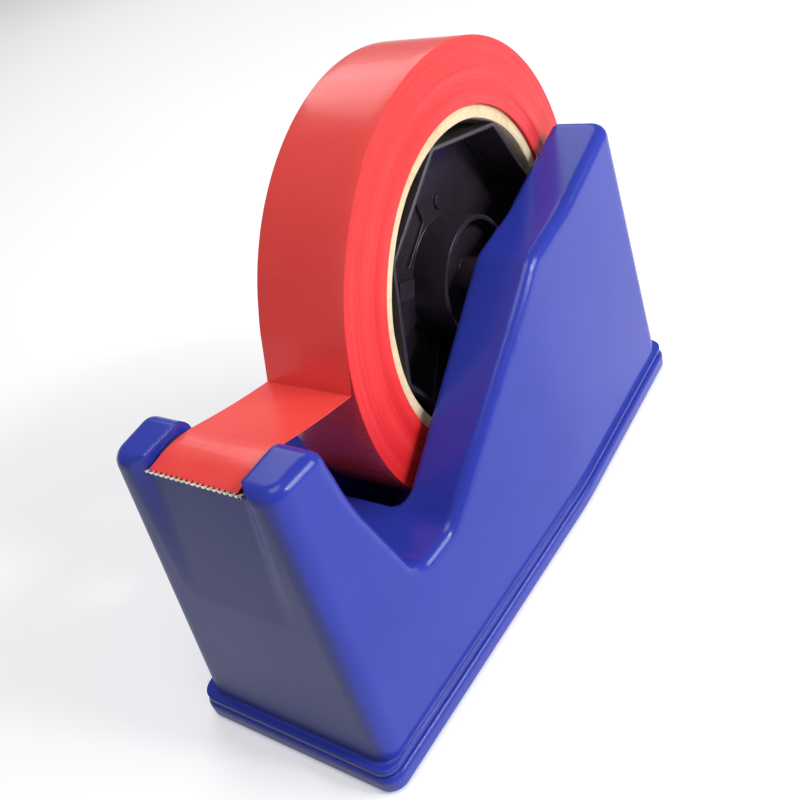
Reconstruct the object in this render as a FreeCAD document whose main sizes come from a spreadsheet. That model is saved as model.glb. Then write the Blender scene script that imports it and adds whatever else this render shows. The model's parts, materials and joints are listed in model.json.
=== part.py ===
import FreeCAD, Part

import math
import os
import re

import Sketcher

# A weighted desk dispenser for 24 mm tape on a 76 mm cardboard core.
#
# Every piece is drawn in the housing's own frame: X across the width, Y from the front lip to the
# rear, Z up from the housing's lower edge. Each piece's Placement then moves it to the part's frame,
# whose origin is the middle of the footprint on the surface that the non-slip pad stands on.

SIZES = {
    # Plan of the base lip, and how far the body stands back from it
    "base_length": 156.4,
    "front_width": 56.8,
    "rear_width": 73.8,
    "rear_flare": 0.8,
    "bend_back": 91.7,
    "lip_corner": 4.5,
    "bend_round": 150.0,
    "lip_height": 7.0,
    "lip_bulge": 4.7,
    "lip_groove": 0.8,
    "groove_depth": 1.7,
    "lip_step": 0.6,
    "lip_round": 1.3,
    "ledge_front": 2.7,
    "ledge_side": 1.5,
    "ledge_rear": 2.4,
    "body_corner": 5.0,
    # Draft of the body's faces, in degrees
    "front_draft": 5.7,
    "side_draft": 4.2,
    "rear_draft": 2.0,
    # Side profile of the body
    "horn_top": 80.3,
    "horn_back": 24.4,
    "horn_round": 3.6,
    "column_bend_back": 25.4,
    "column_bend_height": 64.0,
    "column_round": 60.0,
    "valley_front": 32.2,
    "valley_back": 44.6,
    "valley_height": 37.6,
    "valley_front_round": 5.0,
    "valley_back_round": 8.0,
    "kink_back": 98.5,
    "kink_height": 73.0,
    "kink_round": 9.0,
    "saddle_back": 118.0,
    "saddle_height": 74.8,
    "saddle_round": 60.0,
    "crest_height": 83.5,
    "rim_round": 3.0,
    "rim_inner_round": 2.0,
    # Platform between the two horns, and the recess in the front face below it
    "horn_gap": 25.6,
    "platform_height": 76.2,
    "platform_front": 12.2,
    "recess_foot": 44.0,
    "recess_inner": 11.0,
    "recess_outer": 17.0,
    "recess_start": 0.05,
    # Moulded shell and the slot that the roll stands in
    "wall": 2.4,
    "well_width": 28.0,
    "well_front": 47.0,
    "well_floor": 5.2,
    "well_round": 5.0,
    "rear_sill": 22.0,
    # Axle and its two slanted slots
    "axle_back": 103.0,
    "axle_height": 63.3,
    "axle_diameter": 6.0,
    "axle_slot_depth": 1.2,
    "axle_end_play": 0.2,
    "axle_edge": 0.4,
    "slot_clearance": 0.1,
    "slot_slant": 40.0,
    "bore_clearance": 0.06,
    # Roll of tape
    "tape_width": 23.1,
    "roll_diameter": 113.0,
    "core_outside": 82.8,
    "core_inside": 76.2,
    "core_recess": 0.9,
    # Octagonal hub in two halves
    "hub_fit": 0.1,
    "hub_half_width": 10.3,
    "hub_wall": 1.0,
    "hub_web": 0.9,
    "hub_corner_round": 1.2,
    "hub_window_inner": 17.5,
    "hub_window_rib": 0.8,
    "hub_ring_outer": 15.4,
    "hub_ring_wall": 1.1,
    "hub_ring_reach": 10.2,
    "hub_ring_floor": 7.4,
    "hub_sleeve_outer": 5.2,
    "hub_side_play": 0.6,
    "hub_peg_radius": 19.0,
    "hub_peg_diameter": 3.6,
    "hub_peg_proud": 0.5,
    "hub_latch_radius": 25.4,
    "hub_latch_length": 6.0,
    "hub_latch_width": 4.6,
    "hub_latch_height": 3.2,
    # Blade, its clamp bar and their screws
    "blade_thickness": 0.6,
    "blade_side_gap": 0.3,
    "blade_bend_back": 13.4,
    "blade_tip_back": 11.0,
    "blade_lift": 0.9,
    "blade_rear": 22.0,
    "tooth_pitch": 1.4,
    "tooth_depth": 1.1,
    "tooth_land": 0.06,
    "tooth_start": 0.5,
    "clamp_front": 14.8,
    "clamp_thickness": 1.1,
    "clamp_crown": 0.4,
    "clamp_screw_spacing": 16.0,
    "clamp_screw_back": 18.6,
    "clamp_screw_diameter": 2.5,
    "clamp_head_diameter": 4.6,
    "clamp_head_height": 0.9,
    "clamp_seat_depth": 0.7,
    "clamp_screw_length": 9.0,
    "clamp_boss_diameter": 6.0,
    # Free end of the tape
    "tail_thickness": 0.3,
    "tail_gap": 0.3,
    "tail_lift": 0.6,
    "tail_end_back": 11.3,
    "tail_peel_angle": 8.0,
    # Base plate, pad and screws
    "pad_proud": 0.8,
    "pad_thickness": 1.5,
    "pad_inset": 4.2,
    "plate_thickness": 2.0,
    "plate_inset": 2.6,
    "plate_gap": 0.25,
    "base_screw_diameter": 2.9,
    "base_head_diameter": 5.4,
    "base_screw_length": 14.0,
    "pilot_extra": 2.0,
    "seat_gap": 0.1,
    "boss_diameter": 6.6,
    "boss_height": 22.0,
    "boss_side_inset": 5.4,
    "boss_end_inset": 5.7,
    # Ballast
    "ballast_gap": 0.6,
    "cast_edge": 0.8,
    "bar_front": 52.0,
    "bar_rear": 138.0,
    "bar_boss_gap": 0.6,
    "bar_top": 33.0,
    "block_front": 13.0,
    "block_rear": 42.0,
    "block_width": 36.0,
    "block_top": 32.0,
}

OCTAGON_START = 8
OCTANT = 45
FAR = 60
TOP = "(horn_top + 12)"
BALLAST_SEAT = "pad_thickness - pad_proud + plate_thickness + 2 * seat_gap"
SCOOP_EASE = 0.45
NEARLY = 0.999

document = FreeCAD.newDocument("tape_dispenser")
sheet = document.addObject("Spreadsheet::Sheet", "Sizes")
for row, (alias, size) in enumerate(SIZES.items(), start=1):
    sheet.set("A%d" % row, alias)
    sheet.set("B%d" % row, str(size))
    sheet.setAlias("B%d" % row, alias)
document.recompute()


# ---------------------------------------------------------------- expressions, sketches, features

def bound(text):
    """The expression, with each size's name made a reference to the sheet."""
    return re.sub(r"[a-z_]+", lambda word: "Sizes." + word.group() if word.group() in SIZES else word.group(),
                  str(text))


def value(text):
    """What the expression comes to with the sheet's present sizes."""
    return float(sheet.evalExpression(bound(text)))


def new_body(label, across="0", back="0 - base_length / 2", up="pad_proud"):
    """A body whose Placement is tied to the sheet."""
    body = document.addObject("PartDesign::Body", label)
    body.Label = label
    place(body, across, back, up)
    return body


def place(item, across="0", back="0 - base_length / 2", up="pad_proud"):
    """Ties an object's Placement to the sheet."""
    for axis, text in (("x", across), ("y", back), ("z", up)):
        item.setExpression("Placement.Base." + axis, bound(text))


def new_sketch(body, name, plane, offset="0"):
    """A sketch on one of the body's origin planes, moved along the plane's normal."""
    sketch = body.newObject("Sketcher::SketchObject", name)
    role = [item for item in body.Origin.OriginFeatures if item.Role == plane + "_Plane"]
    sketch.AttachmentSupport = [(role[0], "")]
    sketch.MapMode = "FlatFace"
    sketch.AttachmentOffset = FreeCAD.Placement(FreeCAD.Vector(0, 0, value(offset)), FreeCAD.Rotation())
    sketch.setExpression("AttachmentOffset.Base.z", bound(offset))
    return sketch


def tie(sketch, kind, text, *where):
    """A dimension in the sketch, bound to the sheet."""
    index = sketch.addConstraint(Sketcher.Constraint(kind, *where, value(text)))
    sketch.setExpression("Constraints[%d]" % index, bound(text))


def tie_point(sketch, geometry, end, across, along):
    """Places one point of the sketch from its origin."""
    tie(sketch, "DistanceX", across, -1, 1, geometry, end)
    tie(sketch, "DistanceY", along, -1, 1, geometry, end)


def circle(sketch, across, along, radius):
    """A circle with a bound centre and radius."""
    centre = FreeCAD.Vector(value(across), value(along), 0)
    index = sketch.addGeometry(Part.Circle(centre, FreeCAD.Vector(0, 0, 1), value(radius)))
    tie_point(sketch, index, 3, across, along)
    tie(sketch, "Radius", radius, index)


def corner_arc(before, corner, after, radius):
    """The arc that rounds a corner: its two ends, and the arc itself."""
    to_before = (before - corner).normalize()
    to_after = (after - corner).normalize()
    half = to_before.getAngle(to_after) / 2
    start = corner + to_before * (radius / math.tan(half))
    end = corner + to_after * (radius / math.tan(half))
    middle = corner + (to_before + to_after).normalize() * (radius / math.sin(half))
    turns_left = to_before.cross(to_after).z < 0
    first, last = (start, end) if turns_left else (end, start)
    angles = [math.atan2(point.y - middle.y, point.x - middle.x) for point in (first, last)]
    shape = Part.ArcOfCircle(Part.Circle(middle, FreeCAD.Vector(0, 0, 1), radius), *angles)
    return start, end, shape, turns_left


def outline(sketch, corners):
    """A closed outline. Each corner is (across, along, round), and a round of None is a sharp corner."""
    points = [FreeCAD.Vector(value(across), value(along), 0) for across, along, _ in corners]
    count = len(corners)
    starts, ends, arcs = list(points), list(points), {}
    for index, (_, _, radius) in enumerate(corners):
        if radius is not None:
            before, after = points[index - 1], points[(index + 1) % count]
            starts[index], ends[index], shape, left = corner_arc(before, points[index], after, value(radius))
            arcs[index] = (sketch.addGeometry(shape), left)
    lines = [sketch.addGeometry(Part.LineSegment(ends[index], starts[(index + 1) % count]))
             for index in range(count)]
    for index, (across, along, radius) in enumerate(corners):
        before, after = lines[index - 1], lines[index]
        if radius is None:
            sketch.addConstraint(Sketcher.Constraint("Coincident", before, 2, after, 1))
            tie_point(sketch, after, 1, across, along)
            continue
        arc, left = arcs[index]
        first, last = (1, 2) if left else (2, 1)
        vertex = sketch.addGeometry(Part.Point(points[index]), True)
        tie_point(sketch, vertex, 1, across, along)
        sketch.addConstraint(Sketcher.Constraint("PointOnObject", vertex, 1, before))
        sketch.addConstraint(Sketcher.Constraint("PointOnObject", vertex, 1, after))
        sketch.addConstraint(Sketcher.Constraint("Tangent", before, 2, arc, first))
        sketch.addConstraint(Sketcher.Constraint("Tangent", arc, last, after, 1))
        tie(sketch, "Radius", radius, arc)


def rectangle(sketch, across, along):
    """A rectangle between two pairs of expressions."""
    (left, right), (low, high) = across, along
    outline(sketch, [(left, low, None), (right, low, None), (right, high, None), (left, high, None)])


def extrude(kind, body, name, sketch, length, reverse=False, symmetric=False):
    """A Pad or a Pocket with a bound length."""
    before = body.Tip.Shape.Volume if body.Tip and kind == "Pocket" else None
    feature = body.newObject("PartDesign::" + kind, name)
    feature.Profile = sketch
    feature.Length = value(length)
    feature.setExpression("Length", bound(length))
    feature.Reversed = reverse
    if symmetric:
        feature.SideType = "Symmetric"
    document.recompute()
    if before is not None and not feature.Shape.Volume < before:
        raise RuntimeError(name + " cuts nothing")
    return feature


def cut_with(body, name, form):
    """Takes a form of its own out of a body."""
    tool = document.addObject("PartDesign::Body", name + "_tool")
    tool.BaseFeature = form
    document.recompute()
    before = body.Tip.Shape.Volume
    feature = body.newObject("PartDesign::Boolean", name)
    feature.Type = "Cut"
    feature.setObjects([tool])
    document.recompute()
    if not feature.Shape.Volume < before:
        raise RuntimeError(name + " cuts nothing")


def pad(*details, **options):
    return extrude("Pad", *details, **options)


def pocket(*details, **options):
    return extrude("Pocket", *details, **options)


def loft(body, name, low, high):
    """A solid that runs straight from one outline to the next."""
    feature = body.newObject("PartDesign::AdditiveLoft", name)
    feature.Profile = low
    feature.Sections = [high]
    feature.Ruled = True
    document.recompute()
    return feature


def is_sharp(shape, edge):
    """True where the two faces at an edge's middle meet at an angle."""
    point = edge.valueAt((edge.FirstParameter + edge.LastParameter) / 2)
    faces = shape.ancestorsOfType(edge, Part.Face)
    normals = [face.normalAt(*face.Surface.parameter(point)) for face in faces]
    return len(normals) == 2 and normals[0].getAngle(normals[1]) > math.radians(8)


def fillet(body, name, radius, chosen):
    """Rounds the sharp edges that a test of their box and middle chooses."""
    base = body.Tip
    names = []
    for index, edge in enumerate(base.Shape.Edges, start=1):
        middle = edge.valueAt((edge.FirstParameter + edge.LastParameter) / 2)
        if chosen(edge.BoundBox, middle) and is_sharp(base.Shape, edge):
            names.append("Edge%d" % index)
    feature = body.newObject("PartDesign::Fillet", name)
    feature.Base = (base, names)
    feature.Radius = value(radius)
    feature.setExpression("Radius", bound(radius))
    document.recompute()
    return feature


# ---------------------------------------------------------------- housing

def lip_plan(inset):
    """Corners of the base lip's plan, moved in by an inset: straight sides that widen to a bend."""
    corner = "lip_corner - (%s) / 2" % inset
    return plan(inset, inset, "base_length - (%s)" % inset, corner)


def body_plan(height, inset):
    """Corners of the body's plan at a height above the lip, moved in by an inset."""
    side = "ledge_side + %s + (%s) * tan(side_draft)" % (inset, height)
    return plan(side, "ledge_front + %s + (%s) * tan(front_draft)" % (inset, height),
                "base_length - ledge_rear - %s - (%s) * tan(rear_draft)" % (inset, height),
                "body_corner - %s" % inset)


def plan(side, near, far, corner):
    """Six corners from the inset of the sides and the two ends."""
    front = "front_width / 2 - (%s)" % side
    bend = "rear_width / 2 - rear_flare - (%s)" % side
    rear = "rear_width / 2 - (%s)" % side
    return [("0 - (%s)" % front, near, corner), (front, near, corner),
            (bend, "bend_back", "bend_round"), (rear, far, corner),
            ("0 - (%s)" % rear, far, corner), ("0 - (%s)" % bend, "bend_back", "bend_round")]


def side_profile(inset):
    """What is cut away above the body's side profile, moved into the body by an inset."""
    inner = "(%s)" % inset
    beyond = "base_length + %d" % FAR
    rise = "(crest_height - saddle_height) / (base_length - ledge_rear - saddle_back)"
    far_height = "crest_height - %s + (ledge_rear + %d) * %s" % (inner, FAR, rise)
    return [
        ("0 - %d" % FAR, "horn_top - " + inner, None),
        ("horn_back - " + inner, "horn_top - " + inner, "horn_round - %s * 0.8" % inner),
        ("column_bend_back - " + inner, "column_bend_height", "column_round"),
        ("valley_front - " + inner, "valley_height - " + inner, "valley_front_round + " + inner),
        ("valley_back + 0.3 * " + inner, "valley_height - " + inner, "valley_back_round + " + inner),
        ("kink_back + 0.3 * " + inner, "kink_height - " + inner, "kink_round - " + inner),
        ("saddle_back", "saddle_height - " + inner, "saddle_round"),
        (beyond, far_height, None),
        (beyond, "horn_top + %d" % FAR, None),
        ("0 - %d" % FAR, "horn_top + %d" % FAR, None),
    ]


def platform_profile():
    """What is cut away between the horns, above the platform."""
    return [("0 - %d" % FAR, "platform_height", None), ("valley_back", "platform_height", None),
            ("valley_back", TOP, None), ("0 - %d" % FAR, TOP, None)]


def horn_gap_profile():
    """What the hollow leaves under the platform and behind the scoop in the front face."""
    foot = "ledge_front + wall + (recess_foot - lip_height) * tan(front_draft)"
    return [("0 - %d" % FAR, "recess_foot", None), (foot, "recess_foot", None),
            ("platform_front + wall", "platform_height - wall", None),
            ("valley_back", "platform_height - wall", None),
            ("valley_back", TOP, None), ("0 - %d" % FAR, TOP, None)]


def scoop_wire(level, depth):
    """One level of the scoop in the front face: a flat floor between two S-shaped sides."""
    face = value("ledge_front + (%s - lip_height) * tan(front_draft) - recess_start" % level)
    floor, height = face + value(depth), value(level)
    inner, outer = value("recess_inner"), value("recess_outer")
    step = FreeCAD.Vector((outer - inner) * SCOOP_EASE, 0, 0)
    corners = [FreeCAD.Vector(across, back, height) for across, back in
               ((-outer, -FAR), (-outer, face), (-inner, floor),
                (inner, floor), (outer, face), (outer, -FAR))]
    edges = [Part.makeLine(corners[0], corners[1])]
    for start, end in ((corners[1], corners[2]), (corners[3], corners[4])):
        curve = Part.BezierCurve()
        curve.setPoles([start, start + step, end - step, end])
        edges.append(curve.toShape())
    edges.insert(2, Part.makeLine(corners[2], corners[3]))
    edges.append(Part.makeLine(corners[4], corners[5]))
    edges.append(Part.makeLine(corners[5], corners[0]))
    return Part.Wire(edges)


def make_scoop():
    """The recess in the front face, which deepens from nothing at its foot to the platform."""
    face = "ledge_front + (platform_height - lip_height) * tan(front_draft)"
    depth = "(platform_front - (%s)) * (%s - recess_foot) / (platform_height - recess_foot)" % (face, TOP)
    scoop = document.addObject("Part::Feature", "front_scoop_form")
    scoop.Shape = Part.makeLoft([scoop_wire("recess_foot", "0"), scoop_wire(TOP, depth)], True, True)
    return scoop


def slot_outline(radius):
    """One axle slot, seen from the side: round at the axle, open along its slant."""
    reach = str(FAR / 2)
    corners = []
    for along, across in (("0 - (%s)" % radius, "0 - (%s)" % radius), (reach, "0 - (%s)" % radius),
                          (reach, radius), ("0 - (%s)" % radius, radius)):
        corners.append(("axle_back + (%s) * cos(slot_slant) - (%s) * sin(slot_slant)" % (along, across),
                        "axle_height + (%s) * sin(slot_slant) + (%s) * cos(slot_slant)" % (along, across),
                        "(%s) * %g" % (radius, NEARLY) if along != reach else None))
    return corners


def screw_places():
    """Where the base screws stand: front, bend and rear, on both sides."""
    near = "ledge_front + boss_end_inset"
    far = "base_length - ledge_rear - boss_end_inset"
    rows = [("front_width / 2 - ledge_side - boss_side_inset", near),
            ("rear_width / 2 - rear_flare - ledge_side - boss_side_inset", "bend_back"),
            ("rear_width / 2 - ledge_side - boss_side_inset", far)]
    return [("%s * (%s)" % (side, across), back) for across, back in rows for side in ("1", "(0 - 1)")]


def clamp_screw_places():
    """Where the two blade screws stand on the platform."""
    return [("%s * clamp_screw_spacing / 2" % side, "clamp_screw_back") for side in ("1", "(0 - 1)")]


def make_housing():
    """The moulded shell: an outer form, less the hollow that it is open to from below."""
    shell = new_body("housing_outer", back="0", up="0")
    sketch = new_sketch(shell, "lip_bulge_plan", "XY")
    outline(sketch, lip_plan("0"))
    pad(shell, "lip_bulge", sketch, "lip_bulge")
    fillet(shell, "lip_bulge_round", "lip_round", lambda box, middle: middle.z > 0.1 and box.ZLength < 0.1)
    fillet(shell, "lip_foot_round", "lip_round / 2", lambda box, middle: middle.z < 0.1)
    sketch = new_sketch(shell, "lip_groove_plan", "XY", "lip_bulge")
    outline(sketch, lip_plan("groove_depth"))
    pad(shell, "lip_groove", sketch, "lip_height - lip_bulge")
    sketch = new_sketch(shell, "lip_step_plan", "XY", "lip_bulge + lip_groove")
    outline(sketch, lip_plan("lip_step"))
    pad(shell, "lip_step", sketch, "lip_height - lip_bulge - lip_groove")
    rise = TOP + " - lip_height"
    low = new_sketch(shell, "body_foot_plan", "XY", "lip_height")
    outline(low, body_plan("0", "0"))
    high = new_sketch(shell, "body_top_plan", "XY", TOP)
    outline(high, body_plan(rise, "0"))
    loft(shell, "body_form", low, high)
    sketch = new_sketch(shell, "side_profile", "YZ")
    outline(sketch, side_profile("0"))
    pocket(shell, "side_cut", sketch, "rear_width * 2", symmetric=True)
    valley = value("valley_height") - 1
    fillet(shell, "rim_round", "rim_round", lambda box, middle: box.ZMin > valley and abs(middle.x) > 5)
    cut_with(shell, "front_scoop", make_scoop())
    sketch = new_sketch(shell, "platform_profile", "YZ")
    outline(sketch, platform_profile())
    pocket(shell, "platform", sketch, "horn_gap", symmetric=True)
    rear_wall = "base_length - ledge_rear - wall - (rear_sill - lip_height) * tan(rear_draft)"
    sketch = new_sketch(shell, "well_plan", "XY", "well_floor")
    half = "well_width / 2"
    outline(sketch, [("0 - " + half, "well_front", "well_round"), (half, "well_front", "well_round"),
                     (half, rear_wall, None), ("0 - " + half, rear_wall, None)])
    pocket(shell, "well", sketch, "horn_top", reverse=True)
    sketch = new_sketch(shell, "rear_opening_outline", "YZ")
    rectangle(sketch, ("axle_back", "base_length + %d" % FAR), ("rear_sill", "horn_top + %d" % FAR))
    pocket(shell, "rear_opening", sketch, "well_width", symmetric=True)
    side, front = value(half), value("well_front")
    fillet(shell, "rim_inner_round", "rim_inner_round",
           lambda box, middle: box.ZMin > valley and abs(middle.x) < side + 0.05 and middle.y > front - 0.05
           and box.XLength < 2 * side)
    for side, turn in (("right", False), ("left", True)):
        offset = "well_width / 2" if side == "right" else "0 - well_width / 2"
        sketch = new_sketch(shell, "axle_slot_outline_" + side, "YZ", offset)
        outline(sketch, slot_outline("axle_diameter / 2 + slot_clearance"))
        pocket(shell, "axle_slot_" + side, sketch, "axle_slot_depth", reverse=not turn)
    sketch = new_sketch(shell, "clamp_pilot_plan", "XY", "platform_height")
    for across, back in clamp_screw_places():
        circle(sketch, across, back, "clamp_screw_diameter / 2")
    pocket(shell, "clamp_pilots", sketch, "clamp_screw_length")
    hollow = make_hollow()
    housing = document.addObject("Part::Cut", "housing")
    housing.Label = "housing"
    housing.Base = shell
    housing.Tool = hollow
    place(housing)
    return housing


def make_hollow():
    """The hollow inside the housing, around its well, bosses and axle slots."""
    hollow = new_body("housing_hollow", back="0", up="0")
    seat = "pad_thickness - pad_proud + plate_thickness + seat_gap"
    sketch = new_sketch(hollow, "plate_seat_plan", "XY", "0 - lip_height")
    outline(sketch, lip_plan("plate_inset"))
    pad(hollow, "plate_seat", sketch, "lip_height + " + seat)
    low = new_sketch(hollow, "hollow_foot_plan", "XY", seat)
    outline(low, body_plan("%s - lip_height" % seat, "wall"))
    high = new_sketch(hollow, "hollow_top_plan", "XY", TOP)
    outline(high, body_plan(TOP + " - lip_height", "wall"))
    loft(hollow, "hollow_form", low, high)
    sketch = new_sketch(hollow, "hollow_side_profile", "YZ")
    outline(sketch, side_profile("wall"))
    pocket(hollow, "hollow_side_cut", sketch, "rear_width * 2", symmetric=True)
    sketch = new_sketch(hollow, "hollow_horn_gap_profile", "YZ")
    outline(sketch, horn_gap_profile())
    pocket(hollow, "hollow_horn_gap", sketch, "horn_gap + 2 * wall", symmetric=True)
    sketch = new_sketch(hollow, "well_wall_outline", "YZ")
    rectangle(sketch, ("well_front - wall", "base_length + %d" % FAR),
              ("well_floor - wall", "horn_top + %d" % FAR))
    pocket(hollow, "well_walls", sketch, "well_width + 2 * wall", symmetric=True)
    sketch = new_sketch(hollow, "axle_slot_wall_outline", "YZ")
    outline(sketch, slot_outline("axle_diameter / 2 + wall"))
    pocket(hollow, "axle_slot_walls", sketch, "well_width + 2 * (axle_slot_depth + wall)", symmetric=True)
    sketch = new_sketch(hollow, "boss_plan", "XY", seat)
    for across, back in screw_places():
        circle(sketch, across, back, "boss_diameter / 2")
    pocket(hollow, "bosses", sketch, "boss_height", reverse=True)
    sketch = new_sketch(hollow, "boss_pilot_plan", "XY", "0")
    for across, back in screw_places():
        circle(sketch, across, back, "base_screw_diameter / 2")
    pad(hollow, "boss_pilots", sketch, "base_screw_length + pilot_extra")
    sketch = new_sketch(hollow, "clamp_boss_plan", "XY", "platform_height")
    for across, back in clamp_screw_places():
        circle(sketch, across, back, "clamp_boss_diameter / 2")
    pocket(hollow, "clamp_bosses", sketch, "clamp_screw_length + wall")
    return hollow


# ---------------------------------------------------------------- base

def make_base_plate():
    """The flat plate that closes the housing, with countersunk screw holes."""
    body = new_body("base_plate")
    bottom = "pad_thickness - pad_proud"
    sketch = new_sketch(body, "plate_plan", "XY", bottom)
    outline(sketch, lip_plan("plate_inset + plate_gap"))
    pad(body, "plate", sketch, "plate_thickness")
    sketch = new_sketch(body, "screw_hole_plan", "XY", bottom)
    for across, back in screw_places():
        circle(sketch, across, back, "base_screw_diameter / 2 + slot_clearance")
    pocket(body, "screw_holes", sketch, "plate_thickness", reverse=True)
    sketch = new_sketch(body, "screw_seat_plan", "XY", bottom)
    for across, back in screw_places():
        circle(sketch, across, back, "base_head_diameter / 2 + slot_clearance")
    pocket(body, "screw_seats", sketch, "plate_thickness / 2", reverse=True)
    return body


def make_base_pad():
    """The soft sheet under the plate, which meets the table."""
    body = new_body("base_pad")
    sketch = new_sketch(body, "pad_plan", "XY", "0 - pad_proud")
    outline(sketch, lip_plan("pad_inset"))
    pad(body, "pad_sheet", sketch, "pad_thickness")
    return body


def make_screws(label, places, head_face, length, shank, head, head_height, points_up):
    """A group of pan-headed screws, one solid each, with a cross recess in each head."""
    group = document.addObject("Part::Compound", label)
    group.Label = label
    screws = []
    for number, (across, back) in enumerate(places, start=1):
        name = "%s_%d" % (label, number)
        body = new_body(name, across, "%s - base_length / 2" % back, "%s + pad_proud" % head_face)
        sketch = new_sketch(body, name + "_head_plan", "XY")
        circle(sketch, "0", "0", head)
        pad(body, name + "_head", sketch, head_height, reverse=not points_up)
        sketch = new_sketch(body, name + "_shank_plan", "XY")
        circle(sketch, "0", "0", shank)
        pad(body, name + "_shank", sketch, length, reverse=not points_up)
        sketch = new_sketch(body, name + "_recess_plan", "XY")
        arm, blade = "(%s) * 0.55" % head, "(%s) * 0.14" % head
        outline(sketch, cross_corners(arm, blade))
        pocket(body, name + "_recess", sketch, "(%s) * 0.6" % head_height, reverse=points_up)
        screws.append(body)
    group.Links = screws
    return group


def cross_corners(arm, blade):
    """The twelve corners of a cross recess."""
    quarter = [(arm, blade), (blade, blade), (blade, arm)]
    corners = []
    for turn in range(4):
        for across, along in quarter:
            spots = [(across, along), ("0 - " + along, across), ("0 - " + across, "0 - " + along),
                     (along, "0 - " + across)]
            corners.append(spots[turn] + (None,))
    return corners


def make_bar(label, side):
    """A ballast bar in one side of the housing, between the well's wall and the outer wall."""
    body = new_body(label)
    near = "%s * (well_width / 2 + wall + ballast_gap)" % side
    boss = "boss_side_inset + boss_diameter / 2 + bar_boss_gap"
    far = "%s * (rear_width / 2 - rear_flare - ledge_side - (%s))" % (side, boss)
    sketch = new_sketch(body, label + "_plan", "XY", BALLAST_SEAT)
    rectangle(sketch, (near, far), ("bar_front", "bar_rear"))
    feature = pad(body, label + "_block", sketch, "bar_top - plate_thickness")
    chamfer_all(body, label + "_edges", feature)
    return body


def make_block():
    """The ballast block under the valley, in front of the well."""
    body = new_body("ballast_front")
    sketch = new_sketch(body, "block_plan", "XY", BALLAST_SEAT)
    rectangle(sketch, ("0 - block_width / 2", "block_width / 2"), ("block_front", "block_rear"))
    feature = pad(body, "block", sketch, "block_top - plate_thickness")
    chamfer_all(body, "block_edges", feature)
    return body


def chamfer_all(body, name, base):
    """Breaks every edge of a cast block."""
    feature = body.newObject("PartDesign::Chamfer", name)
    feature.Base = (base, ["Edge%d" % (index + 1) for index in range(len(base.Shape.Edges))])
    feature.Size = value("cast_edge")
    feature.setExpression("Size", bound("cast_edge"))
    document.recompute()


# ---------------------------------------------------------------- blade

def make_blade():
    """The steel strip on the platform: its front edge turns up and ends in teeth."""
    body = new_body("blade")
    sketch = new_sketch(body, "blade_section", "YZ")
    top = "platform_height + blade_thickness"
    outline(sketch, [("blade_rear", "platform_height", None), ("blade_rear", top, None),
                     ("blade_bend_back", top, None),
                     ("blade_tip_back", top + " + blade_lift", None),
                     ("blade_tip_back", "platform_height + blade_lift", None),
                     ("blade_bend_back", "platform_height", None)])
    pad(body, "blade_strip", sketch, "horn_gap - 2 * blade_side_gap", symmetric=True)
    sketch = new_sketch(body, "blade_hole_plan", "XY", top)
    for across, back in clamp_screw_places():
        circle(sketch, across, back, "clamp_screw_diameter / 2 + slot_clearance")
    pocket(body, "blade_holes", sketch, "blade_thickness")
    sketch = new_sketch(body, "tooth_gap_plan", "XY", top + " + 2 * blade_lift")
    count = int(value("(horn_gap - 2 * blade_side_gap) / tooth_pitch"))
    for number in range(count + 1):
        middle = "(%d - %d / 2) * tooth_pitch" % (number, count)
        half, start = "(tooth_pitch - tooth_land) / 2", "blade_tip_back - tooth_start"
        outline(sketch, [("%s - %s" % (middle, half), start, None),
                         ("%s + %s" % (middle, half), start, None),
                         (middle, "blade_tip_back + tooth_depth", None)])
    pocket(body, "tooth_gaps", sketch, "2 * blade_thickness + 4 * blade_lift")
    return body


def make_blade_clamp():
    """The bar that holds the blade down, crowned where the tape lies over it."""
    body = new_body("blade_clamp")
    seat = "platform_height + blade_thickness"
    shoulder = seat + " + clamp_thickness"
    middle_back = "(clamp_front + blade_rear) / 2"
    sketch = new_sketch(body, "clamp_section", "YZ")
    outline(sketch, [("blade_rear", seat, None), ("blade_rear", shoulder, "0.4"),
                     (middle_back, shoulder + " + clamp_crown", "8"),
                     ("clamp_front", shoulder, "0.4"), ("clamp_front", seat, None)])
    pad(body, "clamp_bar", sketch, "horn_gap - 2 * blade_side_gap", symmetric=True)
    crest = shoulder + " + clamp_crown"
    sketch = new_sketch(body, "clamp_hole_plan", "XY", crest)
    for across, back in clamp_screw_places():
        circle(sketch, across, back, "clamp_screw_diameter / 2 + slot_clearance")
    pocket(body, "clamp_holes", sketch, "2 * clamp_thickness + clamp_crown")
    sketch = new_sketch(body, "clamp_seat_plan", "XY", crest)
    for across, back in clamp_screw_places():
        circle(sketch, across, back, "clamp_head_diameter / 2 + slot_clearance")
    pocket(body, "clamp_seats", sketch, "clamp_crown + clamp_seat_depth")
    return body


# ---------------------------------------------------------------- hub, axle and roll

ROLL_PLACE = ("0", "axle_back - base_length / 2", "axle_height + pad_proud")


def octagon(radius, corner):
    """Eight corners about the axle."""
    turns = [OCTAGON_START + OCTANT * number for number in range(8)]
    return [("(%s) * cos(%d)" % (radius, turn), "(%s) * sin(%d)" % (radius, turn), corner) for turn in turns]


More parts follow.
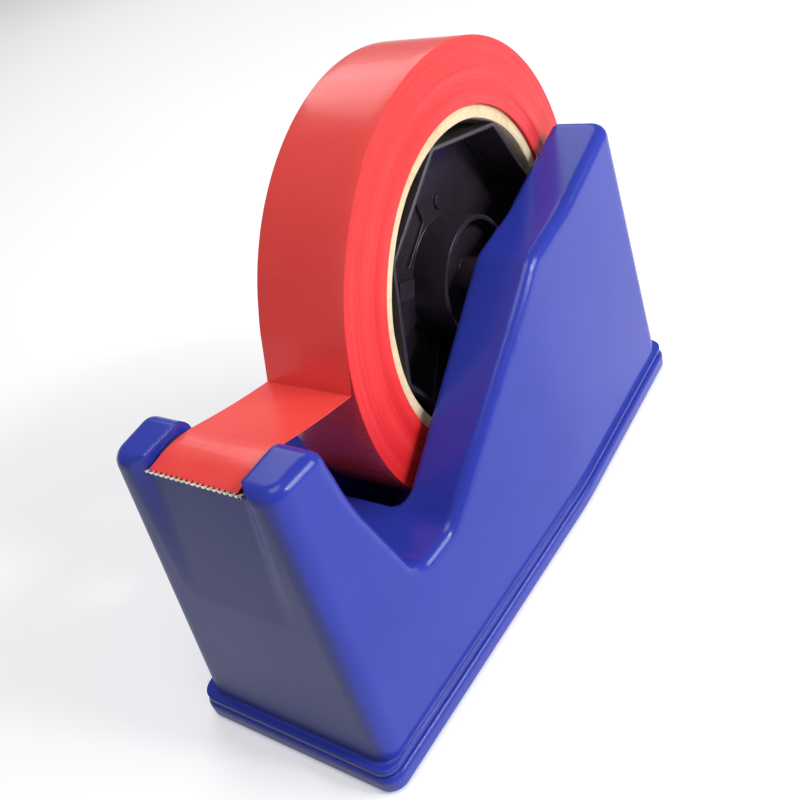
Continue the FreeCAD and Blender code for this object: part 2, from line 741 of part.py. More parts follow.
def make_hub_half(label, side):
    """One half of the hub: an octagonal drum, a web (windowed on the right), a ring and a bearing sleeve."""
    right = side == "1"
    body = new_body(label, *ROLL_PLACE)
    rim = "core_inside / 2 - hub_fit"
    inner = "core_inside / 2 - hub_fit - hub_wall / cos(%g)" % (OCTANT / 2)
    sketch = new_sketch(body, label + "_web_outline", "YZ")
    outline(sketch, octagon(rim, "hub_corner_round"))
    pad(body, label + "_web", sketch, "hub_web", reverse=not right)
    if right:
        sketch = new_sketch(body, label + "_window_outline", "YZ")
        for number in range(0, 8, 2):
            outline(sketch, window_corners(OCTAGON_START + OCTANT * number))
        pocket(body, label + "_windows", sketch, "hub_web", reverse=True)
    sketch = new_sketch(body, label + "_drum_outline", "YZ")
    outline(sketch, octagon(rim, "hub_corner_round"))
    outline(sketch, octagon(inner, "hub_corner_round / 2"))
    pad(body, label + "_drum", sketch, "hub_half_width", reverse=not right)
    sketch = new_sketch(body, label + "_ring_outline", "YZ")
    circle(sketch, "0", "0", "hub_ring_outer")
    circle(sketch, "0", "0", "hub_ring_outer - hub_ring_wall")
    pad(body, label + "_ring", sketch, "hub_ring_reach", reverse=not right)
    sketch = new_sketch(body, label + "_cup_outline", "YZ")
    circle(sketch, "0", "0", "hub_ring_outer - hub_ring_wall")
    pocket(body, label + "_cup", sketch, "hub_web", reverse=right)
    sketch = new_sketch(body, label + "_floor_outline", "YZ", "%s * (hub_ring_floor - hub_web)" % side)
    circle(sketch, "0", "0", "hub_ring_outer - hub_ring_wall / 2")
    pad(body, label + "_floor", sketch, "hub_web", reverse=not right)
    sketch = new_sketch(body, label + "_sleeve_outline", "YZ")
    circle(sketch, "0", "0", "hub_sleeve_outer")
    pad(body, label + "_sleeve", sketch, "well_width / 2 - hub_side_play", reverse=not right)
    sketch = new_sketch(body, label + "_latch_outline", "YZ")
    for turn in (OCTAGON_START + 3.3 * OCTANT, OCTAGON_START + 7.3 * OCTANT):
        outline(sketch, latch_corners(turn))
    pad(body, label + "_latches", sketch, "hub_web + hub_latch_height", reverse=not right)
    sketch = new_sketch(body, label + "_bore_outline", "YZ")
    circle(sketch, "0", "0", "axle_diameter / 2 + bore_clearance")
    pocket(body, label + "_bore", sketch, "well_width", reverse=right)
    sketch = new_sketch(body, label + "_peg_outline", "YZ")
    growth = "bore_clearance" if right else "0"
    for turn in (OCTAGON_START + 1.5 * OCTANT, OCTAGON_START + 5.5 * OCTANT):
        circle(sketch, "hub_peg_radius * cos(%g)" % turn, "hub_peg_radius * sin(%g)" % turn,
               "hub_peg_diameter / 2 + %s" % growth)
    if right:
        pocket(body, label + "_peg_holes", sketch, "hub_web", reverse=True)
    else:
        pad(body, label + "_pegs", sketch, "hub_web + hub_peg_proud")
    return body


def window_corners(turn):
    """One window of the web: an octant between two spokes, the ring and the drum."""
    outer = "(core_inside / 2 - hub_fit - hub_wall / cos(%g) - hub_window_rib)" % (OCTANT / 2)
    corners = []
    for radius, angle in (("hub_window_inner", turn + 2), (outer, turn + 1),
                          (outer, turn + OCTANT + 1), ("hub_window_inner", turn + OCTANT)):
        corners.append(("%s * cos(%g)" % (radius, angle), "%s * sin(%g)" % (radius, angle), "1"))
    return corners


def latch_corners(turn):
    """The square foot of a snap latch, turned to face the axle."""
    corners = []
    for along, across in ((-0.5, -0.5), (0.5, -0.5), (0.5, 0.5), (-0.5, 0.5)):
        radial = "(hub_latch_radius + hub_latch_length * %g)" % (along - 0.5)
        sideways = "(hub_latch_width * %g)" % across
        corners.append(("%s * cos(%g) - %s * sin(%g)" % (radial, turn, sideways, turn),
                        "%s * sin(%g) + %s * cos(%g)" % (radial, turn, sideways, turn), None))
    return corners


def make_axle():
    """The steel pin that the hub turns on; its ends rest in the two slots."""
    body = new_body("axle", *ROLL_PLACE)
    sketch = new_sketch(body, "axle_outline", "YZ")
    circle(sketch, "0", "0", "axle_diameter / 2")
    length = "well_width + 2 * (axle_slot_depth - axle_end_play)"
    feature = pad(body, "axle_pin", sketch, length, symmetric=True)
    chamfer = body.newObject("PartDesign::Chamfer", "axle_ends")
    chamfer.Base = (feature, [name for name in ("Edge1", "Edge2", "Edge3")
                              if feature.Shape.getElement(name).Curve.TypeId == "Part::GeomCircle"])
    chamfer.Size = value("axle_edge")
    chamfer.setExpression("Size", bound("axle_edge"))
    document.recompute()
    return body


def make_ring(label, outside, inside, width):
    """A plain ring about the axle."""
    body = new_body(label, *ROLL_PLACE)
    sketch = new_sketch(body, label + "_outline", "YZ")
    circle(sketch, "0", "0", outside)
    circle(sketch, "0", "0", inside)
    pad(body, label + "_ring", sketch, width, symmetric=True)
    return body


def make_tail():
    """The free end of the tape: from the roll, over the clamp bar, to the teeth."""
    body = new_body("tape_tail")
    crest = "platform_height + blade_thickness + clamp_thickness + clamp_crown + tail_gap + tail_lift"
    tip = "platform_height + blade_thickness + blade_lift + tail_gap"
    middle_back = "(clamp_front + blade_rear) / 2"
    reach = "(roll_diameter / 2 + tail_gap)"
    peel_back = "axle_back - %s * cos(tail_peel_angle)" % reach
    peel_height = "axle_height + %s * sin(tail_peel_angle)" % reach
    lower = [("tail_end_back", tip, None), (middle_back, crest, "7"), (peel_back, peel_height, None)]
    upper = [(back, "%s + tail_thickness" % height, radius) for back, height, radius in reversed(lower)]
    sketch = new_sketch(body, "tail_section", "YZ")
    outline(sketch, lower + upper)
    pad(body, "tail_strip", sketch, "tape_width", symmetric=True)
    return body


def make_all():
    """Every sub-part, in the order that it is put together."""
    base_seat = "(pad_thickness - pad_proud)"
    clamp_top = "(platform_height + blade_thickness + clamp_thickness - clamp_seat_depth + clamp_head_height)"
    return [
        make_housing(),
        make_base_plate(),
        make_base_pad(),
        make_screws("base_screws", screw_places(), base_seat + " + seat_gap",
                    "base_screw_length - pilot_extra / 2", "base_screw_diameter / 2",
                    "base_head_diameter / 2", "plate_thickness / 2 - seat_gap", True),
        make_bar("ballast_right", "1"),
        make_bar("ballast_left", "(0 - 1)"),
        make_block(),
        make_blade(),
        make_blade_clamp(),
        make_screws("blade_screws", clamp_screw_places(), clamp_top, "clamp_screw_length - pilot_extra / 2",
                    "clamp_screw_diameter / 2", "clamp_head_diameter / 2", "clamp_head_height", False),
        make_axle(),
        make_hub_half("hub_right", "1"),
        make_hub_half("hub_left", "(0 - 1)"),
        make_ring("core", "core_outside / 2", "core_inside / 2", "tape_width - 2 * core_recess"),
        make_ring("tape_roll", "roll_diameter / 2", "core_outside / 2", "tape_width"),
        make_tail(),
    ]


def check(parts):
    """Stops before anything is written if an object has failed or a shape is not sound."""
    for item in document.Objects:
        if "Invalid" in item.State or "Error" in item.State:
            raise RuntimeError("%s is %s" % (item.Name, item.State))
    for item in parts:
        if item.Shape.isNull() or not item.Shape.isValid():
            raise RuntimeError(item.Label + " has no sound shape")


sub_parts = make_all()
document.recompute()
check(sub_parts)
os.makedirs("parts", exist_ok=True)
for sub_part in sub_parts:
    sub_part.Shape.exportStep("parts/%s.step" % sub_part.Label)
    shape = sub_part.Shape
    print("%-16s %2d solid(s) %9.1f mm3" % (sub_part.Label, len(shape.Solids), shape.Volume))
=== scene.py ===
import json
import math

import bmesh
import bpy
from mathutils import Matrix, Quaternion, Vector, noise


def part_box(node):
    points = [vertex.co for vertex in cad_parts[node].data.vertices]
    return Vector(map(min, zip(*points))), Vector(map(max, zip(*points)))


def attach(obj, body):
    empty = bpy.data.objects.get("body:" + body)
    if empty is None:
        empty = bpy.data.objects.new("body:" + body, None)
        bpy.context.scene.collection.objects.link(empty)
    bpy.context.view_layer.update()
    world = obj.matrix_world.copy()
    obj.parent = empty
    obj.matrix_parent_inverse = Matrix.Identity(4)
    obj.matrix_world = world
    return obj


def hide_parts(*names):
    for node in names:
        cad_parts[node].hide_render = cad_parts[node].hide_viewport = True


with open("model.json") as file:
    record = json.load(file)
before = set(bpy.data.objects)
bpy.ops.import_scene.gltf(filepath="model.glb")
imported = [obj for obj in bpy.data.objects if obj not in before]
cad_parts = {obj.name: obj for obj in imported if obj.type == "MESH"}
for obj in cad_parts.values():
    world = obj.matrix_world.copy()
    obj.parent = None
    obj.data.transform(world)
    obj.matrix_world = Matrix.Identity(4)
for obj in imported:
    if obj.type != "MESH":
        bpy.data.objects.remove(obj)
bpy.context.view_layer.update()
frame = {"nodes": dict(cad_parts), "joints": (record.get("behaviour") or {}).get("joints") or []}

MM = 0.001
BOARD_THICKNESS = 3.3 * MM

# ---------------------------------------------------------------- places read from the CAD frame

ROLL_LOW, ROLL_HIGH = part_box("tape_roll")
CORE_LOW, CORE_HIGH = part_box("core")
TAIL_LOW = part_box("tape_tail")[0]
CLAMP_LOW, CLAMP_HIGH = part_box("blade_clamp")
BLADE_LOW, BLADE_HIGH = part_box("blade")
AXLE = next(joint for joint in frame["joints"] if joint["name"] == "roll_spin")["pos_m"]
AXLE_Y, AXLE_Z = AXLE[1], AXLE[2]
ROLL_RADIUS = (ROLL_HIGH[2] - ROLL_LOW[2]) / 2
CORE_RADIUS = (CORE_HIGH[2] - CORE_LOW[2]) / 2
CORE_BORE = CORE_RADIUS - BOARD_THICKNESS
HALF_TAPE = (ROLL_HIGH[0] - ROLL_LOW[0]) / 2
HALF_CORE = (CORE_HIGH[0] - CORE_LOW[0]) / 2


# ---------------------------------------------------------------- small helpers

def add_object(name, mesh, material):
    """A new object with one material, smooth shaded."""
    item = bpy.data.objects.new(name, mesh)
    bpy.context.collection.objects.link(item)
    mesh.materials.append(material)
    for face in mesh.polygons:
        face.use_smooth = True
    return item


def mesh_from(name, points, faces):
    """A mesh from its points and faces, with its normals facing out."""
    mesh = bpy.data.meshes.new(name)
    mesh.from_pydata(points, [], faces)
    work = bmesh.new()
    work.from_mesh(mesh)
    bmesh.ops.recalc_face_normals(work, faces=work.faces)
    work.to_mesh(mesh)
    work.free()
    return mesh


def sharpen(item, degrees):
    """Keeps edges sharper than an angle crisp in the shading."""
    work = bmesh.new()
    work.from_mesh(item.data)
    limit = math.radians(degrees)
    for edge in work.edges:
        if len(edge.link_faces) == 2 and edge.calc_face_angle(0) > limit:
            edge.smooth = False
    work.to_mesh(item.data)
    work.free()


class Nodes:
    """The node tree of one material, with short ways to add and join nodes."""

    def __init__(self, name):
        self.material = bpy.data.materials.new(name)
        self.material.use_nodes = True
        self.tree = self.material.node_tree
        self.shader = self.tree.nodes["Principled BSDF"]
        self.place = self.add("ShaderNodeTexCoord").outputs["Object"]

    def add(self, kind, **settings):
        """A new node of a kind, with its settings."""
        node = self.tree.nodes.new(kind)
        for key, setting in settings.items():
            setattr(node, key, setting)
        return node

    def join(self, source, target):
        """A link from an output to an input."""
        self.tree.links.new(source, target)

    def noise(self, scale, detail=4, roughness=0.5, stretch=None):
        """Noise that changes with the place on the object, with a scale for each axis if it is stretched."""
        node = self.add("ShaderNodeTexNoise")
        node.inputs["Scale"].default_value = scale
        node.inputs["Detail"].default_value = detail
        node.inputs["Roughness"].default_value = roughness
        source = self.place
        if stretch:
            mapping = self.add("ShaderNodeMapping")
            mapping.inputs["Scale"].default_value = stretch
            self.join(self.place, mapping.inputs["Vector"])
            source = mapping.outputs["Vector"]
        self.join(source, node.inputs["Vector"])
        return node.outputs["Fac"]

    def rings(self, radius, scale, detail, roughness=0.5):
        """Noise that changes only with the distance from the axle."""
        node = self.add("ShaderNodeTexNoise", noise_dimensions="1D")
        node.inputs["Scale"].default_value = scale
        node.inputs["Detail"].default_value = detail
        node.inputs["Roughness"].default_value = roughness
        self.join(radius, node.inputs["W"])
        return node.outputs["Fac"]

    def weighted(self, *parts):
        """The sum of sources, each times its share."""
        total = None
        for source, share in parts:
            part = self.math("MULTIPLY", source, share)
            total = part if total is None else self.math("ADD", total, part)
        return total

    def ramp(self, source, *stops):
        """A colour for each level of the source, from stops of (level, colour)."""
        node = self.add("ShaderNodeValToRGB")
        band = node.color_ramp
        while len(band.elements) < len(stops):
            band.elements.new(0.5)
        for element, (where, colour) in zip(band.elements, stops):
            element.position = where
            element.color = (*colour, 1)
        self.join(source, node.inputs["Fac"])
        return node.outputs["Color"]

    def range(self, source, low, high, to_low, to_high):
        """The source, moved from one range to another."""
        node = self.add("ShaderNodeMapRange")
        self.join(source, node.inputs["Value"])
        limits = {"From Min": low, "From Max": high, "To Min": to_low, "To Max": to_high}
        for key, setting in limits.items():
            node.inputs[key].default_value = setting
        return node.outputs["Result"]

    def math(self, operation, first, second=None):
        """One or two sources or numbers put through an operation."""
        node = self.add("ShaderNodeMath", operation=operation)
        for slot, source in enumerate((first, second)):
            if source is None:
                continue
            if isinstance(source, (int, float)):
                node.inputs[slot].default_value = source
            else:
                self.join(source, node.inputs[slot])
        return node.outputs["Value"]

    def blend(self, share, first, second):
        """Two colours mixed by a share."""
        node = self.add("ShaderNodeMix", data_type="RGBA")
        colours = [socket for socket in node.inputs if socket.type == "RGBA"]
        self.join(share, node.inputs["Factor"])
        for socket, source in zip(colours, (first, second)):
            if isinstance(source, tuple):
                socket.default_value = (*source, 1)
            else:
                self.join(source, socket)
        return next(socket for socket in node.outputs if socket.type == "RGBA")

    def bump(self, source, strength, distance, before=None):
        """A normal roughened by a height, on top of another normal if one is given."""
        node = self.add("ShaderNodeBump")
        node.inputs["Strength"].default_value = strength
        node.inputs["Distance"].default_value = distance
        self.join(source, node.inputs["Height"])
        if before is not None:
            self.join(before, node.inputs["Normal"])
        return node.outputs["Normal"]

    def bevel(self, radius):
        """A normal that rounds the edges by a radius."""
        node = self.add("ShaderNodeBevel", samples=8)
        node.inputs["Radius"].default_value = radius
        return node.outputs["Normal"]

    def set(self, **sockets):
        """Sets or joins the shader's inputs, whose names have spaces in place of underscores."""
        for key, setting in sockets.items():
            socket = self.shader.inputs[key.replace("_", " ")]
            if isinstance(setting, bpy.types.NodeSocket):
                self.join(setting, socket)
            else:
                socket.default_value = setting


# ---------------------------------------------------------------- materials

def moulded_plastic(name, colour, deep, roughness, grain, edge_radius, shine=0.5, painted_front_shade=None):
    """Injection-moulded plastic: faint mottling, smears, a fine satin grain and softened edges.

    With a painted front shade colour, the faces that look toward the blade end take that darker, greyer blue
    as painted shade and are rougher.
    """
    nodes = Nodes(name)
    colours = nodes.ramp(nodes.noise(35, 3), (0.3, deep), (0.7, colour))
    smears = nodes.range(nodes.noise(40, 3), 0.3, 0.7, roughness - 0.02, roughness + 0.03)
    # Painted shade: faces that look toward the blade end are blended, by the normal's direction, into a
    # darker, greyer colour.
    if painted_front_shade:
        normal = nodes.add("ShaderNodeSeparateXYZ")
        nodes.join(nodes.add("ShaderNodeTexCoord").outputs["Normal"], normal.inputs["Vector"])
        painted_shade_share = nodes.range(normal.outputs["Y"], -0.7, -0.98, 0, 1)
        colours = nodes.blend(painted_shade_share, colours, painted_front_shade)
        smears = nodes.math("ADD", smears, nodes.math("MULTIPLY", painted_shade_share, 0.22))
    nodes.set(Base_Color=colours, Roughness=smears, IOR=1.5, Specular_IOR_Level=shine)
    nodes.set(Normal=nodes.bump(nodes.noise(2600, 2), grain, 0.05 * MM, nodes.bevel(edge_radius)))
    return nodes.material


def tape_face():
    """The roll's side: the edges of hundreds of turns of red film."""
    nodes = Nodes("tape_side_rings")
    radius = radial_distance(nodes)
    mixed = nodes.weighted((nodes.rings(radius, 2600, 4, 0.65), 0.6), (nodes.rings(radius, 320, 2), 0.4))
    shade = nodes.weighted((mixed, 0.75), (nodes.noise(60, 3), 0.25))
    colours = nodes.ramp(shade, (0.32, (0.64, 0.014, 0.018)), (0.5, (0.84, 0.024, 0.028)),
                         (0.68, (0.95, 0.055, 0.055)))
    nodes.set(Base_Color=colours, Roughness=0.42, IOR=1.48, Specular_IOR_Level=0.4)
    nodes.set(Subsurface_Weight=0.1, Subsurface_Scale=1.0 * MM)
    nodes.set(Normal=nodes.bump(mixed, 0.35, 0.25 * MM))
    return nodes.material


def radial_distance(nodes):
    """Distance from the axle, in metres."""
    split = nodes.add("ShaderNodeSeparateXYZ")
    nodes.join(nodes.place, split.inputs["Vector"])
    back = nodes.math("SUBTRACT", split.outputs["Y"], AXLE_Y)
    up = nodes.math("SUBTRACT", split.outputs["Z"], AXLE_Z)
    squares = [nodes.math("MULTIPLY", side, side) for side in (back, up)]
    return nodes.math("SQRT", nodes.math("ADD", *squares))


def tape_film():
    """Glossy red film on the roll's rim and on the free end."""
    nodes = Nodes("tape_film_gloss")
    clouds = nodes.noise(28, 3)
    colours = nodes.ramp(clouds, (0.3, (0.82, 0.055, 0.048)), (0.7, (0.92, 0.08, 0.068)))
    streaks = nodes.noise(120, 4, 0.6, (0.2, 1, 1))
    nodes.set(Base_Color=colours, Roughness=nodes.range(streaks, 0.3, 0.7, 0.2, 0.34), IOR=1.5,
              Specular_IOR_Level=0.35, Coat_Weight=0.12, Coat_Roughness=0.06)
    ripples = nodes.noise(30, 2, 0.4, (0.35, 1, 1))
    nodes.set(Normal=nodes.bump(ripples, 0.12, 1.0 * MM))
    return nodes.material


def cardboard():
    """Wound kraft board: fibres, plies on the cut face and stains."""
    nodes = Nodes("core_board")
    radius = radial_distance(nodes)
    plies = nodes.rings(radius, 1500, 2)
    fibres = nodes.noise(900, 6, 0.7)
    stains = nodes.noise(60, 4, 0.6)
    mixed = nodes.weighted((plies, 0.35), (fibres, 0.35), (stains, 0.3))
    colours = nodes.ramp(mixed, (0.3, (0.42, 0.28, 0.14)), (0.46, (0.78, 0.6, 0.36)),
                         (0.66, (0.95, 0.84, 0.6)))
    nodes.set(Base_Color=colours, Roughness=0.88, IOR=1.4, Sheen_Weight=0.15)
    nodes.set(Normal=nodes.bump(mixed, 0.7, 0.4 * MM))
    return nodes.material


def brushed_metal(name, colour, roughness, stretch):
    """Metal with fine streaks, drawn out along the axes whose stretch is small."""
    nodes = Nodes(name)
    lines = nodes.noise(700, 4, 0.6, stretch)
    spots = nodes.noise(150, 3)
    dark = tuple(channel * 0.75 for channel in colour)
    nodes.set(Base_Color=nodes.ramp(spots, (0.3, dark), (0.7, colour)), Metallic=1.0,
              Roughness=nodes.range(lines, 0.3, 0.7, roughness - 0.08, roughness + 0.1))
    nodes.set(Normal=nodes.bump(lines, 0.25, 0.1 * MM))
    return nodes.material


def rubber_foam():
    """The dark closed-cell sheet under the base."""
    nodes = Nodes("pad_foam")
    cells = nodes.add("ShaderNodeTexVoronoi")
    cells.inputs["Scale"].default_value = 1400
    nodes.join(nodes.place, cells.inputs["Vector"])
    dust = nodes.noise(80, 4)
    nodes.set(Base_Color=nodes.ramp(dust, (0.3, (0.012, 0.012, 0.013)), (0.75, (0.035, 0.034, 0.033))),
              Roughness=0.9, Normal=nodes.bump(cells.outputs["Distance"], 0.5, 0.3 * MM))
    return nodes.material


def cast_iron():
    """Rough cast ballast with a few rust specks."""
    nodes = Nodes("ballast_casting")
    pits = nodes.noise(420, 6, 0.7)
    rust = nodes.noise(70, 5, 0.7)
    nodes.set(Base_Color=nodes.ramp(rust, (0.45, (0.06, 0.058, 0.055)), (0.72, (0.14, 0.07, 0.04))),
              Metallic=0.6, Roughness=0.75, Normal=nodes.bump(pits, 0.8, 0.5 * MM))
    return nodes.material


# The housing's last colour is painted shade for the faces that look toward the blade end.
BLUE = moulded_plastic("housing_blue", (0.028, 0.046, 0.4), (0.024, 0.039, 0.36), roughness=0.19,
                       grain=0.05, edge_radius=1.2 * MM, shine=0.3, painted_front_shade=(0.026, 0.032, 0.15))
BLACK = moulded_plastic("hub_black", (0.034, 0.026, 0.038), (0.026, 0.02, 0.029), roughness=0.2,
                        grain=0.04, edge_radius=0.4 * MM)
GREY = moulded_plastic("plate_grey", (0.09, 0.09, 0.1), (0.07, 0.07, 0.08), roughness=0.45,
                       grain=0.3, edge_radius=0.3 * MM)
RED_FILM = tape_film()
RED_SIDE = tape_face()
BOARD = cardboard()
STEEL = brushed_metal("blade_steel", (0.82, 0.76, 0.62), roughness=0.34, stretch=(1, 0.08, 0.08))
PIN_STEEL = brushed_metal("axle_steel", (0.6, 0.6, 0.62), roughness=0.25, stretch=(0.08, 1, 1))
ZINC = brushed_metal("screw_zinc", (0.66, 0.66, 0.62), roughness=0.35, stretch=(1, 1, 1))
FOAM = rubber_foam()
IRON = cast_iron()

FINISHES = {
    "housing": BLUE,
    "base_plate": GREY,
    "base_pad": FOAM,
    "base_screws": ZINC,
    "blade_screws": ZINC,
    "ballast_right": IRON,
    "ballast_left": IRON,
    "ballast_front": IRON,
    "blade": STEEL,
    "blade_clamp": BLACK,
    "axle": PIN_STEEL,
    "hub_right": BLACK,
    "hub_left": BLACK,
}
for node, finish in FINISHES.items():
    for slot in frame["nodes"][node].material_slots:
        slot.material = finish


# ---------------------------------------------------------------- wound roll and core

def around(radius, angle, across):
    """A point at a radius and angle about the axle."""
    return (across, AXLE_Y + radius * math.cos(angle), AXLE_Z + radius * math.sin(angle))


def lathe(name, profile, turns, material):
    """A closed ring: each profile entry is a function of the angle that gives (radius, across)."""
    points, faces = [], []
    count = len(profile)
    for step in range(turns):
        angle = 2 * math.pi * step / turns
        for place in profile:
            radius, across = place(angle)
            points.append(around(radius, angle, across))
    for step in range(turns):
        here, there = step * count, (step + 1) % turns * count
        for index in range(count):
            other = (index + 1) % count
            faces.append((here + index, here + other, there + other, there + index))
    return add_object(name, mesh_from(name, points, faces), material)


def wobble(radius, angle, size, seed):
    """A small offset that varies slowly round the ring and quickly from turn to turn."""
    spot = Vector((1.5 * math.cos(angle), 1.5 * math.sin(angle), radius / MM * 0.9 + seed))
    return size * noise.noise(spot)


RINGS = 44
ROLL_TURNS = 256
CORE_TURNS = 360
SIDE_INSET = 0.12 * MM
SIDE_UNEVEN = 0.16 * MM
BORE_INSET = 0.1 * MM
EDGE_INSET = 0.04 * MM
EDGE_ROUND = 0.12 * MM
RIM_INSET = 0.05 * MM
RIM_START = ROLL_RADIUS - 0.11 * MM
CROWN_STEPS = (0.97, 0.7, 0.35, 0.0, -0.35, -0.7, -0.97)
FUR = 0.1 * MM

# How far the core's faces are set in, in millimetres, at steps out from the bore and in from the rim.
BORE_EDGE = ((0, 0.55), (0.15, 0.15), (0.5, 0), (1.3, 0.06))
RIM_EDGE = ((1.2, 0.02), (0.45, 0.08), (0.05, 0.25))


def fixed(radius, across):
    """A place in a profile that is the same all the way round."""
    return lambda angle: (radius, across)


def roll_side_place(ring, side, seed):
    """One ring of vertices on a side face of the roll, slightly uneven as wound film is."""
    radius = CORE_RADIUS + (ROLL_RADIUS - CORE_RADIUS) * (ring / RINGS)

    def place(angle):
        inset = SIDE_INSET + wobble(radius, angle, SIDE_UNEVEN, seed)
        return radius, side * (HALF_TAPE - max(0.0, inset))
    return place


def crown_place(across):
    """One ring of vertices on the roll's rim, at a share of the half width."""
    def place(angle):
        return ROLL_RADIUS + wobble(across, angle, RIM_INSET, 5.0) - RIM_INSET, across * HALF_TAPE
    return place


def make_roll():
    """The wound tape: two slightly uneven side faces and a glossy rim."""
    near = [roll_side_place(ring, 1, 3.0) for ring in range(1, RINGS)]
    far = [roll_side_place(ring, -1, 17.0) for ring in reversed(range(1, RINGS))]
    inner = {side: fixed(CORE_RADIUS, side * (HALF_TAPE - BORE_INSET)) for side in (-1, 1)}
    edge = {side: fixed(ROLL_RADIUS - EDGE_ROUND, side * (HALF_TAPE - EDGE_INSET)) for side in (-1, 1)}
    crown = [crown_place(across) for across in CROWN_STEPS]
    profile = [inner[1]] + near + [edge[1]] + crown + [edge[-1]] + far + [inner[-1]]
    roll = lathe("wound_tape", profile, ROLL_TURNS, RED_SIDE)
    roll.data.materials.append(RED_FILM)
    for face in roll.data.polygons:
        centre = face.center
        if math.hypot(centre.y - AXLE_Y, centre.z - AXLE_Z) > RIM_START:
            face.material_index = 1
    sharpen(roll, 32)
    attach(roll, "spool")
    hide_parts("tape_roll")


def furred_place(radius, across, seed):
    """One ring of vertices on a face of the core, uneven as cut board is."""
    start = seed + radius * 900
    return lambda angle: (radius + wobble(across / MM, angle * 3, FUR, start),
                          across + wobble(radius, angle * 4, FUR, start + 2))


def make_core():
    """The cardboard core, with rounded, slightly furred edges."""
    steps = [(CORE_BORE + out * MM, inset) for out, inset in BORE_EDGE]
    steps += [(CORE_RADIUS - back * MM, inset) for back, inset in RIM_EDGE]
    near = [furred_place(radius, HALF_CORE - inset * MM, 3.0) for radius, inset in steps]
    far = [furred_place(radius, inset * MM - HALF_CORE, 9.0) for radius, inset in reversed(steps)]
    bore = [fixed(CORE_BORE, across * HALF_CORE) for across in (-0.6, 0, 0.6)]
    core = lathe("core_ring", near + far + bore, CORE_TURNS, BOARD)
    sharpen(core, 45)
    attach(core, "spool")
    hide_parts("core")


# ---------------------------------------------------------------- free end of the tape

PEEL_HEIGHT = TAIL_LOW[2] + 0.2 * MM - AXLE_Z
PEEL_ANGLE = math.pi - math.asin(PEEL_HEIGHT / ROLL_RADIUS)
LIFT_OFF = math.radians(11)
DIVE_TURN = math.radians(1.2)
DIVE_DEPTH = 0.045 * MM
BOWS = (0.0, 0.05, 0.12, -0.3)
FILM = 0.1 * MM
OFF_ROLL = 0.06 * MM
SPAN_STEPS = 14
ARC_STEPS = 12
DIVE_STEPS = 4
ACROSS_STEPS = 108
TEETH = 18
TOOTH_ROWS = 4
TOOTH_CUT = 0.7 * MM
WAVE = 0.1 * MM


def tail_line():
    """Points (y, z) along the tape's lower side, from its cut end, over the clamp bar, to the roll.

    Each span between the first points bows up by its own share of a millimetre. The last points
    follow the roll's rim and dip into it.
    """
    clear = ROLL_RADIUS + OFF_ROLL
    crest_y = (CLAMP_LOW[1] + CLAMP_HIGH[1]) / 2
    fold = around(clear / math.cos(LIFT_OFF), PEEL_ANGLE, 0)
    anchors = [Vector((BLADE_LOW[1] + 0.05 * MM, BLADE_HIGH[2] + 0.08 * MM)),
               Vector((CLAMP_LOW[1] + 0.6 * MM, CLAMP_HIGH[2] + 0.12 * MM)),
               Vector((crest_y, CLAMP_HIGH[2] + 0.2 * MM)),
               Vector((CLAMP_HIGH[1] + 2.0 * MM, CLAMP_HIGH[2] - 0.7 * MM)),
               Vector(fold[1:])]
    points = []
    for start, end, bow in zip(anchors, anchors[1:], BOWS):
        for step in range(SPAN_STEPS):
            share = step / SPAN_STEPS
            spot = start.lerp(end, share)
            spot.y += bow * MM * math.sin(share * math.pi)
            points.append(spot)
    for step in range(ARC_STEPS + 1):
        angle = PEEL_ANGLE - LIFT_OFF * step / ARC_STEPS
        radius = clear / math.cos(LIFT_OFF * (1 - step / ARC_STEPS))
        points.append(Vector(around(radius, angle, 0)[1:]))
    for step in range(1, DIVE_STEPS + 1):
        angle = PEEL_ANGLE - LIFT_OFF - DIVE_TURN * step
        points.append(Vector(around(clear - DIVE_DEPTH * step, angle, 0)[1:]))
    return points


def make_tail():
    """The strip of film, with a toothed cut end and a slight wave across its width."""
    line = tail_line()
    half = HALF_TAPE - 0.05 * MM
    tooth = (BLADE_HIGH[0] - BLADE_LOW[0]) / TEETH
    points, faces = [], []
    rows, columns = len(line), ACROSS_STEPS + 1
    for layer in (0, 1):
        for row, spot in enumerate(line):
            for column in range(columns):
                across = -half + 2 * half * column / ACROSS_STEPS
                back = spot.x
                if row < TOOTH_ROWS:
                    phase = abs((across / tooth) % 1 - 0.5) * 2
                    back += (phase * TOOTH_CUT) * (1 - row / TOOTH_ROWS)
                wave = WAVE * math.sin(across / half * 2.2) * math.sin(row / rows * math.pi)
                points.append((across, back, spot.y + wave + layer * FILM))
    size = rows * columns
    for layer in (0, 1):
        for row in range(rows - 1):
            for column in range(columns - 1):
                first = layer * size + row * columns + column
                faces.append((first, first + 1, first + columns + 1, first + columns))
    for row in range(rows - 1):
        for column in (0, columns - 1):
            first = row * columns + column
            faces.append((first, first + columns, first + columns + size, first + size))
    for column in range(columns - 1):
        for row in (0, rows - 1):
            first = row * columns + column
            faces.append((first, first + 1, first + 1 + size, first + size))
    tail = add_object("free_tape", mesh_from("free_tape", points, faces), RED_FILM)
    sharpen(tail, 60)
    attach(tail, "axle_pin")
    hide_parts("tape_tail")


make_roll()
make_core()
make_tail()


# ---------------------------------------------------------------- floor, light and camera

def make_floor():
    """A wide pale floor."""
    nodes = Nodes("studio_floor")
    colours = nodes.ramp(nodes.noise(3, 2), (0.3, (0.86, 0.86, 0.86)), (0.7, (0.9, 0.9, 0.9)))
    nodes.set(Base_Color=colours, Roughness=0.7, Emission_Color=(1, 1, 1, 1), Emission_Strength=0.26)
    size = 9.0
    mesh = mesh_from("floor", [(-size, -size, 0), (size, -size, 0), (size, size, 0), (-size, size, 0)],
                     [(0, 1, 2, 3)])
    floor = add_object("floor", mesh, nodes.material)


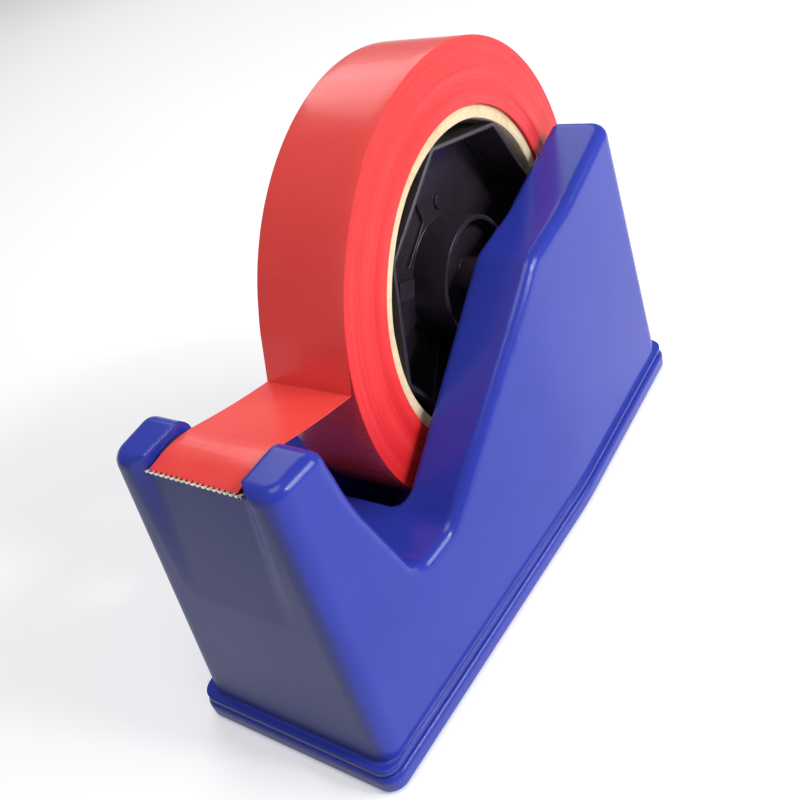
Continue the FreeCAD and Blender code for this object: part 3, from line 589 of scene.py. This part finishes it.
def add_light(name, place, target, size, power, colour=(1, 1, 1)):
    """A square soft light aimed at a point."""
    data = bpy.data.lights.new(name, "AREA")
    data.size = size
    data.energy = power
    data.color = colour
    light = bpy.data.objects.new(name, data)
    light.location = place
    light.rotation_euler = (Vector(target) - Vector(place)).to_track_quat("-Z", "Y").to_euler()
    bpy.context.collection.objects.link(light)


def make_lights():
    """A key and a small lamp on the right, a window behind, a lamp overhead and a weak fill in front."""
    middle = (0, 0, 0.06)
    add_light("key", (0.6, 0.26, 0.38), middle, 0.32, 2.9, (1, 0.99, 0.97))
    add_light("spark", (0.8, 0.16, 0.62), middle, 0.1, 2.0)
    add_light("window", (-0.55, 0.66, 0.78), middle, 0.62, 2.6, (0.97, 0.98, 1))
    add_light("overhead", (0.15, -0.1, 1.05), middle, 0.5, 3.2)
    add_light("front_fill", (-0.25, -0.95, 0.5), middle, 0.7, 0.5)


def make_world():
    """A dim, slightly blue surround, which the camera itself sees brighter."""
    world = bpy.data.worlds.new("studio")
    world.use_nodes = True
    tree = world.node_tree
    background = tree.nodes["Background"]
    background.inputs["Color"].default_value = (0.96, 0.97, 1.0, 1)
    seen = tree.nodes.new("ShaderNodeMapRange")
    seen.inputs["To Min"].default_value = 0.3
    seen.inputs["To Max"].default_value = 1.0
    tree.links.new(tree.nodes.new("ShaderNodeLightPath").outputs["Is Camera Ray"], seen.inputs["Value"])
    tree.links.new(seen.outputs["Result"], background.inputs["Strength"])
    bpy.context.scene.world = world


def make_camera():
    """The camera: high on the right of the blade end, looking down and tilted."""
    data = bpy.data.cameras.new("camera")
    data.lens = 39.13
    data.sensor_width = 36.0
    data.shift_x = -0.0337
    data.shift_y = -0.003
    camera = bpy.data.objects.new("camera", data)
    place = Vector((0.11722, -0.13288, 0.17693))
    target = Vector((0.0, 0.00389, 0.03957))
    level = (target - place).to_track_quat("-Z", "Y")
    roll = Quaternion((0, 0, 1), math.radians(-17.74))
    camera.location = place
    camera.rotation_euler = (level @ roll).to_euler()
    bpy.context.collection.objects.link(camera)
    bpy.context.scene.camera = camera


make_floor()
make_lights()
make_world()
make_camera()
bpy.context.scene.view_settings.view_transform = "Standard"
